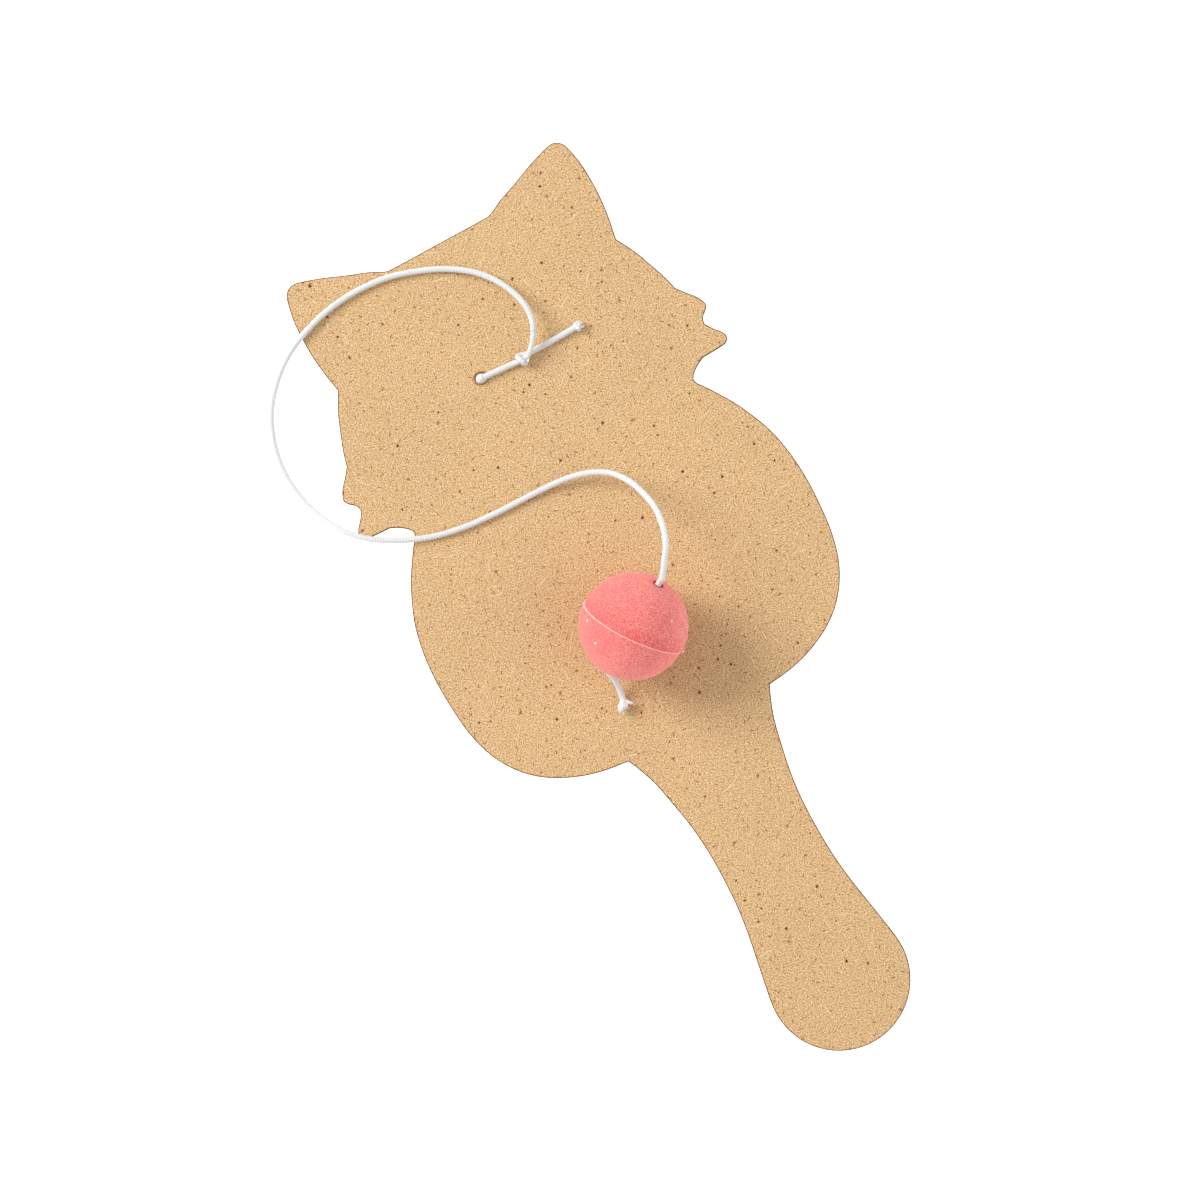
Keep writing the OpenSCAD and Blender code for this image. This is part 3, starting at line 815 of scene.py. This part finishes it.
def vectors(tree, operation, *values, output="Vector", **links):
    node = add_node(tree, "ShaderNodeVectorMath", {"operation": operation}, **numbered(values), **links)
    return node.outputs[output]


def ramp(tree, value, low, high, out_low=0.0, out_high=1.0):
    """Turns low to high into out_low to out_high, smoothly, and holds both ends."""
    numbers = numbered((value, low, high, out_low, out_high))
    return add_node(tree, "ShaderNodeMapRange", {"interpolation_type": "SMOOTHSTEP"}, **numbers).outputs[0]


def mix_colour(tree, factor, low, high):
    low, high = (c if isinstance(c, bpy.types.NodeSocket) else (*c, 1) for c in (low, high))
    return add_node(tree, "ShaderNodeMix", {"data_type": "RGBA"}, i0=factor, i6=low, i7=high).outputs[2]


def noise(tree, place, scale, detail=2.0, rough=0.5, output=0):
    node = add_node(tree, "ShaderNodeTexNoise", {"noise_dimensions": "3D"}, Vector=place, Scale=scale, Detail=detail,
                    Roughness=rough)
    return node.outputs[output]


def cells_of(tree, place, density):
    return add_node(tree, "ShaderNodeTexVoronoi", {"voronoi_dimensions": "3D"}, Vector=place, Scale=density,
                    Randomness=1.0).outputs


def bump(tree, height, depth):
    return add_node(tree, "ShaderNodeBump", Height=height, Distance=depth, Strength=1.0).outputs[0]


def linear(red, green, blue):
    """A colour as read from a screen, 0 to 255, made linear."""
    shares = (red / 255, green / 255, blue / 255)
    return tuple(c / 12.92 if c <= 0.04045 else ((c + 0.055) / 1.055) ** 2.4 for c in shares)


# %% [markdown]
# ### Group: scattered fibres
# Felted wood fibres are short strokes that lie every way. Voronoi cells give each stroke its own place, and the
# cell's random colour gives it its own turn, so that no two strokes line up.

# %% The fibre group


def new_group(name, results, **givens):
    """A node group that is given a Place and some numbers, and puts out numbers."""
    group = bpy.data.node_groups.new(name, "ShaderNodeTree")
    group.interface.new_socket("Place", in_out="INPUT", socket_type="NodeSocketVector")
    for label, number in givens.items():
        group.interface.new_socket(label, in_out="INPUT", socket_type="NodeSocketFloat").default_value = number
    for label in results:
        group.interface.new_socket(label, in_out="OUTPUT", socket_type="NodeSocketFloat")
    return group, group.nodes.new("NodeGroupInput").outputs, group.nodes.new("NodeGroupOutput")


fibres, given, result = new_group(
    "scattered_fibres", ("Mask", "Tone"), Cell=1.0, Length=0.4, Width=0.06, Wander=0.2)
wander = vectors(fibres, "SUBTRACT", noise(fibres, given["Place"], 1.1, 1.0, output="Color"), (0.5, 0.5, 0.5))
bent = vectors(fibres, "ADD", given["Place"], vectors(fibres, "SCALE", wander, Scale=given["Wander"]))
density = maths(fibres, "DIVIDE", 1.0, given["Cell"])
cells = cells_of(fibres, bent, density)
grown = vectors(fibres, "SCALE", bent, Scale=density)
middle = vectors(fibres, "SCALE", cells["Position"], Scale=density)
away = vectors(fibres, "SUBTRACT", grown, middle)
tones = add_node(fibres, "ShaderNodeSeparateColor", Color=cells["Color"]).outputs
spin = maths(fibres, "MULTIPLY", tones[0], 2 * math.pi)
turned = add_node(fibres, "ShaderNodeVectorRotate", {"rotation_type": "Z_AXIS"}, Vector=away, Angle=spin)
split = add_node(fibres, "ShaderNodeSeparateXYZ", Vector=turned.outputs[0]).outputs
across, ends = (
    ramp(fibres, maths(fibres, "DIVIDE", maths(fibres, "ABSOLUTE", off), given[reach]), full, 1.0, 1.0, 0.0)
    for off, reach, full in ((split[1], "Width", 0.3), (split[0], "Length", 0.6))
)
fill(fibres, result, Mask=maths(fibres, "MULTIPLY", across, ends), Tone=tones[1])
print("fibre group", len(fibres.nodes), "nodes")

# %% [markdown]
# ### Group: specks
# Bark specks in the board and dust on the ball are small round spots, of which only some cells have one.

# %% The speck group
specks, given, result = new_group("scattered_specks", ("Mask",), Cell=1.0, Size=0.1, Share=0.2)
shaken = vectors(specks, "SCALE", noise(specks, given["Place"], 2.2, output="Color"), Scale=0.8)
moved = vectors(specks, "ADD", given["Place"], shaken)
cells = cells_of(specks, moved, maths(specks, "DIVIDE", 1.0, given["Cell"]))
tones = add_node(specks, "ShaderNodeSeparateColor", Color=cells["Color"]).outputs
spot_size = maths(specks, "MULTIPLY", given["Size"], maths(specks, "ADD", tones[1], 0.4))
spot = ramp(specks, maths(specks, "DIVIDE", cells["Distance"], spot_size), 0.5, 1.0, 1.0, 0.0)
chosen = maths(specks, "LESS_THAN", tones[0], given["Share"])
fill(specks, result, Mask=maths(specks, "MULTIPLY", spot, chosen))
print("speck group", len(specks.nodes), "nodes")


def scatter(tree, group, place, **numbers):
    return add_node(tree, "ShaderNodeGroup", {"node_tree": group}, Place=place, **numbers).outputs


def new_material(name):
    """A material, its nodes and its Principled shader, and the place on the piece in millimetres."""
    material = bpy.data.materials.new(name)
    material.use_nodes = True
    tree = material.node_tree
    place = vectors(tree, "SCALE", add_node(tree, "ShaderNodeTexCoord").outputs["Object"], Scale=MM_PER_M)
    return material, tree, tree.nodes["Principled BSDF"], place


# %% [markdown]
# ### Fibreboard
# The pressed face is a warm tan felt: pale and dark fibres a fraction of a millimetre wide lie every way over a
# ground that is never quite even, with specks of bark. The fine grain is strong in some patches and faint in
# others. The pattern's heights are measured from the pressed face, because a noise texture looks finer in the
# plane where its height is zero. The cut edge is the same felt, browned by the cutter.

# %% The board's two finishes


def fibreboard(name, ground, pale, dark, deep):
    material, tree, shader, place = new_material(name)
    level = vectors(tree, "ADD", place, (0, 0, -MM_PER_M * BOARD_TOP))
    broad = noise(tree, level, 0.035)
    patch = noise(tree, level, 0.9, 3.0, 0.6)
    grain = noise(tree, level, 2.8, 0.0)
    uneven = ramp(tree, patch, 0.38, 0.62, 0.35, 1.0)
    colour = mix_colour(tree, ramp(tree, broad, 0.35, 0.65), ground, tuple(0.95 * c for c in ground))
    colour = mix_colour(tree, ramp(tree, patch, 0.4, 0.7, 0.0, 0.02), colour, pale)
    colour = mix_colour(tree, ramp(tree, patch, 0.6, 0.3, 0.0, 0.02), colour, dark)
    colour = mix_colour(tree, maths(tree, "MULTIPLY", uneven, ramp(tree, grain, 0.5, 0.64)), colour, pale)
    colour = mix_colour(tree, maths(tree, "MULTIPLY", uneven, ramp(tree, grain, 0.48, 0.36)), colour, dark)
    relief = grain
    # Each layer: its cells in mm, a fibre's length and width in cells, its colour and strength, and the tone
    # from which a cell has one. The two finest layers are the grain's own, so they come in patches too.
    for cell, length, width, shade, strength, low in (
        (0.3, 0.5, 0.3, pale, 0.95, 0.4),
        (0.27, 0.5, 0.3, dark, 0.95, 0.45),
        (1.3, 0.42, 0.06, pale, 0.6, 0.7),
        (1.2, 0.4, 0.07, dark, 0.45, 0.75),
        (2.8, 0.2, 0.05, deep, 1.0, 0.6),
        (9.0, 0.3, 0.014, pale, 0.9, 0.5),
    ):
        apart = vectors(tree, "ADD", level, (31 * cell, 17 * cell, 7 * cell))
        layer = scatter(tree, fibres, apart, Cell=cell, Length=length, Width=width, Wander=0.5)
        mask = maths(tree, "MULTIPLY", layer["Mask"], ramp(tree, layer["Tone"], low, low + 0.2))
        if cell < 1:
            mask = maths(tree, "MULTIPLY", mask, uneven)
        colour = mix_colour(tree, maths(tree, "MULTIPLY", mask, strength), colour, shade)
        relief = maths(tree, "ADD", relief, maths(tree, "MULTIPLY", mask, 0.25 if shade is pale else -0.25))
    for cell, size, share, shade in (
        (1.6, 0.15, 0.14, linear(140, 76, 28)),
        (3, 0.15, 0.85, linear(158, 92, 40)),
        (3, 0.1, 0.5, linear(30, 14, 6)),
    ):
        spots = scatter(tree, specks, level, Cell=cell, Size=size, Share=share)
        colour = mix_colour(tree, maths(tree, "MULTIPLY", spots["Mask"], 0.85), colour, shade)
    fill(tree, shader, Base_Color=colour, Roughness=ramp(tree, patch, 0.3, 0.7, 0.62, 0.78),
         Specular_IOR_Level=0.25, Normal=bump(tree, relief, 0.00006))
    return material, tree, shader, place, colour


pressed_face, tree, shader, place, colour = fibreboard(
    "pressed_fibreboard", linear(223, 184, 128), linear(249, 225, 184), linear(174, 121, 62), linear(112, 66, 24))
cut_edge = fibreboard(
    "cut_fibreboard_edge", linear(112, 64, 26), linear(146, 92, 42), linear(82, 44, 16), linear(58, 30, 10))[0]
print("pressed face", len(tree.nodes), "nodes")

# %% [markdown]
# ### The scorched rim of the left hole
# The drill ran hot there and browned a thin ring of the face, mostly on the upper left side. It is a ring of
# distance from the hole's centre, made uneven by noise. The hole's walls take the same finish, so on them this dark
# brown is painted shade in the gap round the plug, darkest on the upper left side, away from the light.

# %% Brown the rim, paint shade on the hole's walls, and give each face of the board its finish
UPPER_LEFT = (-0.6, 0.8, 0)
RIM_REACH = 0.0031
off_hole = vectors(tree, "SUBTRACT", place, tuple(MM_PER_M * left_hole))
flat_off = vectors(tree, "MULTIPLY", off_hole, (1, 1, 0))
from_hole = vectors(tree, "LENGTH", flat_off, output="Value")
sideways = vectors(tree, "DOT_PRODUCT", flat_off, UPPER_LEFT, output="Value")
ragged = maths(tree, "MULTIPLY_ADD", noise(tree, place, 1.6), 0.7, from_hole)
toast_and_wall_shade = maths(tree, "MULTIPLY", ramp(tree, ragged, 2.7, 2.0), ramp(tree, sideways, -1.6, 0.2, 0.25, 0.9))
# the upper left of the ring and of the hole's walls turns dark brown: scorching on the face, painted shade on the
# walls
fill(tree, shader, Base_Color=mix_colour(tree, toast_and_wall_shade, colour, linear(142, 76, 20)))

board.data.materials.clear()
board.data.materials.append(pressed_face)
board.data.materials.append(cut_edge)
for face in board.data.polygons:
    # faces near the left hole, its walls among them, take the pressed face with its dark ring; on the walls it is
    # painted shade
    by_left_hole = (Vector(face.center) - left_hole).xy.length < RIM_REACH and len(face.vertices) < 60
    face.material_index = 0 if abs(face.normal.z) > 0.995 or by_left_hole else 1
print("browned faces", sum(face.material_index for face in board.data.polygons))

# %% [markdown]
# ### White braid, loose yarn and rubber core
# The braid's threads are drawn from the cord's own unwrapped coordinates, once round it and one pitch along. The
# hollows between the yarns are painted greyer, as painted shade. A little light goes through white yarn, so shade on
# it stays soft.

# %% The cord's finishes
THREADS_PER_YARN = 5


def braid_finish():
    material, tree, shader, place = new_material("white_braided_sleeve")
    unwrapped = add_node(tree, "ShaderNodeUVMap", {"uv_map": "braid"}).outputs[0]
    split = add_node(tree, "ShaderNodeSeparateXYZ", Vector=unwrapped).outputs
    right, left = (maths(tree, "MULTIPLY", maths(tree, way, split[0], split[1]), float(BRAID_YARNS))
                   for way in ("ADD", "SUBTRACT"))
    lies = []
    for own, other, shift in ((right, left, 0.0), (left, right, math.pi)):
        hump = maths(tree, "ABSOLUTE", maths(tree, "SINE", maths(tree, "MULTIPLY", own, math.pi)))
        phase = maths(tree, "MULTIPLY", maths(tree, "ADD", other, maths(tree, "FLOOR", own)), math.pi)
        over = maths(tree, "COSINE", maths(tree, "ADD", phase, shift))
        raised = maths(tree, "MULTIPLY", hump, maths(tree, "MULTIPLY_ADD", over, 0.275, 0.725))
        twist = maths(tree, "SINE", maths(tree, "MULTIPLY", own, THREADS_PER_YARN * math.pi))
        lies.append(maths(tree, "MULTIPLY_ADD", maths(tree, "ABSOLUTE", twist), 0.15, raised))
    height = maths(tree, "MAXIMUM", *lies)
    relief = maths(tree, "MULTIPLY_ADD", noise(tree, place, 14.0), 0.3, height)
    # painted shade: the braid's hollows are greyer than its crowns
    colour = mix_colour(tree, ramp(tree, height, 0.3, 0.85), linear(212, 215, 217), linear(233, 236, 235))
    fill(tree, shader, Base_Color=colour, Roughness=0.72, Specular_IOR_Level=0.3, Sheen_Weight=0.25,
         Subsurface_Weight=0.35, Subsurface_Radius=(1, 1, 1), Subsurface_Scale=0.001,
         Normal=bump(tree, relief, 0.00003))
    return material


def yarn_finish():
    material, tree, shader, place = new_material("loose_white_yarn")
    fuzz = noise(tree, place, 9.0, 3.0, 0.7)
    colour = mix_colour(tree, ramp(tree, fuzz, 0.3, 0.6), linear(226, 230, 235), linear(252, 252, 252))
    fill(tree, shader, Base_Color=colour, Roughness=0.85, Sheen_Weight=0.3, Normal=bump(tree, fuzz, 0.00008))
    return material


def latex_finish():
    material, tree, shader, place = new_material("latex_core_rubber")
    cut = noise(tree, place, 6.0, 3.0)
    colour = mix_colour(tree, ramp(tree, cut, 0.35, 0.65), linear(206, 190, 160), linear(232, 220, 196))
    fill(tree, shader, Base_Color=colour, Roughness=ramp(tree, cut, 0.3, 0.7, 0.45, 0.65),
         Normal=bump(tree, cut, 0.00008))
    return material


sleeve_finish, tuft_finish, core_finish = braid_finish(), yarn_finish(), latex_finish()
for piece in (ball_end, loose_cord, anchored):
    piece.data.materials.append(sleeve_finish)
for piece in (knot_fray, ball_fray):
    piece.data.materials.append(tuft_finish)
for piece in (knot_core, ball_core):
    piece.data.materials.append(core_finish)
print("cord finishes", [finish.name for finish in (sleeve_finish, tuft_finish, core_finish)])

# %% [markdown]
# ### Dusty rubber
# The ball is matte coral rubber with a bloom of talc in fine flecks. A band just above the seam is a darker red.
# The side towards the head, which faces the key light, is painted deeper red as painted shade, so the light on it
# stays even. The two mouths of the bore are painted the deepest red as painted shade in their dimples, while the
# rib of the mould is nearly white with talc.

# %% The ball's finish
# The side that faces the key light; it is painted darker red as painted shade, to even out its light
KEY_LIGHT_SIDE = (-0.68, 0.68, 0.27)
material, tree, shader, place = new_material("dusty_coral_rubber")
centred = vectors(tree, "SUBTRACT", place, tuple(MM_PER_M * BALL))
height = vectors(tree, "DOT_PRODUCT", centred, tuple(SEAM), output="Value")
towards_key_light = vectors(tree, "DOT_PRODUCT", centred, KEY_LIGHT_SIDE, output="Value")
off_bore = vectors(tree, "LENGTH", vectors(tree, "CROSS_PRODUCT", centred, tuple(BORE)), output="Value")
cloud = noise(tree, place, 0.22, 3.0, 0.55)
dust = noise(tree, place, 3.4, 0.0, 0.6)
# a band just above the seam is made a darker red
darker_above_seam = maths(tree, "MULTIPLY", ramp(tree, height, 0.0, 0.5), ramp(tree, height, 4.5, 0.3))
darker_above_seam = maths(tree, "MULTIPLY", darker_above_seam, ramp(tree, cloud, 0.35, 0.6, 0.5, 1.0))
rib = ramp(tree, maths(tree, "ABSOLUTE", height), 0.22, 0.12)
pale_specks = scatter(tree, specks, place, Cell=5.0, Size=0.085, Share=0.55)["Mask"]

colour = mix_colour(tree, ramp(tree, cloud, 0.35, 0.65), linear(239, 134, 129), linear(242, 141, 135))
for share, shade in (
    (maths(tree, "MULTIPLY", darker_above_seam, 0.75), linear(228, 80, 80)),
    (ramp(tree, dust, 0.5, 0.66, 0.0, 0.75), linear(246, 178, 171)),
    (ramp(tree, dust, 0.48, 0.34, 0.0, 0.75), linear(226, 96, 96)),
    # painted shade: the side facing the key light is darkened so that the ball's shading stays flat
    (ramp(tree, towards_key_light, 2.0, 14.0, 0.0, 0.45), linear(214, 104, 100)),
    # painted shade: the bore's mouths are darkened as the shade inside their dimples
    (ramp(tree, off_bore, 1.9, 1.25, 0.0, 0.95), linear(192, 30, 44)),
    (maths(tree, "MULTIPLY", rib, 0.9), linear(254, 196, 186)),
    (pale_specks, linear(248, 224, 172)),
):
    colour = mix_colour(tree, share, colour, shade)
fill(tree, shader, Base_Color=colour, Roughness=ramp(tree, dust, 0.3, 0.7, 0.68, 0.85), Specular_IOR_Level=0.1,
     Subsurface_Weight=0.7, Subsurface_Radius=(1, 0.35, 0.3), Subsurface_Scale=0.007, Sheen_Weight=0.08,
     Sheen_Roughness=0.4, Sheen_Tint=(1.0, 0.72, 0.7, 1), Normal=bump(tree, dust, 0.00005))
ball.data.materials.clear()
ball.data.materials.append(material)
print("ball finish", len(tree.nodes), "nodes")

# %% [markdown]
# ## Floor and light
# The photograph has a pure white ground, one large soft light from the upper left and plenty of fill from a
# reflector opposite. The lamps hang far away, so that the handle is lit as brightly as the head. The photograph's
# ground is whiter than any paper under that light, so the sheet glows a little of its own.

# %% Floor, light and sky
LAMP_DISTANCE = 2.4
deselect_everything()
bpy.ops.mesh.primitive_plane_add(size=4, location=(0, 0, 0))
floor = bpy.context.view_layer.objects.active
floor.name = "white_table"
bpy.ops.object.transform_apply(location=True, rotation=True, scale=True)
paper, tree, shader, _ = new_material("white_paper")
fill(tree, shader, Base_Color=(0.92, 0.92, 0.92, 1), Roughness=0.9, Emission_Color=(1, 1, 1, 1),
     Emission_Strength=0.8)
floor.data.materials.append(paper)


def soft_lamp(name, towards, size, energy, colour):
    towards = Vector(towards).normalized()
    lamp_data = bpy.data.lights.new(name, "AREA")
    lamp_data.shape = "DISK"
    lamp_data.size = size
    lamp_data.energy = energy
    lamp_data.color = colour
    lamp = bpy.data.objects.new(name, lamp_data)
    lamp.location = towards * LAMP_DISTANCE
    lamp.rotation_euler = towards.to_track_quat("Z", "Y").to_euler()
    bpy.context.collection.objects.link(lamp)
    print(name, energy, "W")


soft_lamp("window_light", (-0.475, 0.669, 0.574), size=1.25, energy=46, colour=(1, 1, 1))
soft_lamp("reflector", (0.6, -0.55, 0.58), size=2.4, energy=11.5, colour=(1, 0.96, 0.95))

sky = bpy.data.worlds.new("studio_fill")
sky.use_nodes = True
sky.node_tree.nodes["Background"].inputs[0].default_value = (1, 0.97, 0.97, 1)
sky.node_tree.nodes["Background"].inputs[1].default_value = 0.55
bpy.context.scene.world = sky
bpy.context.scene.view_settings.view_transform = "Standard"
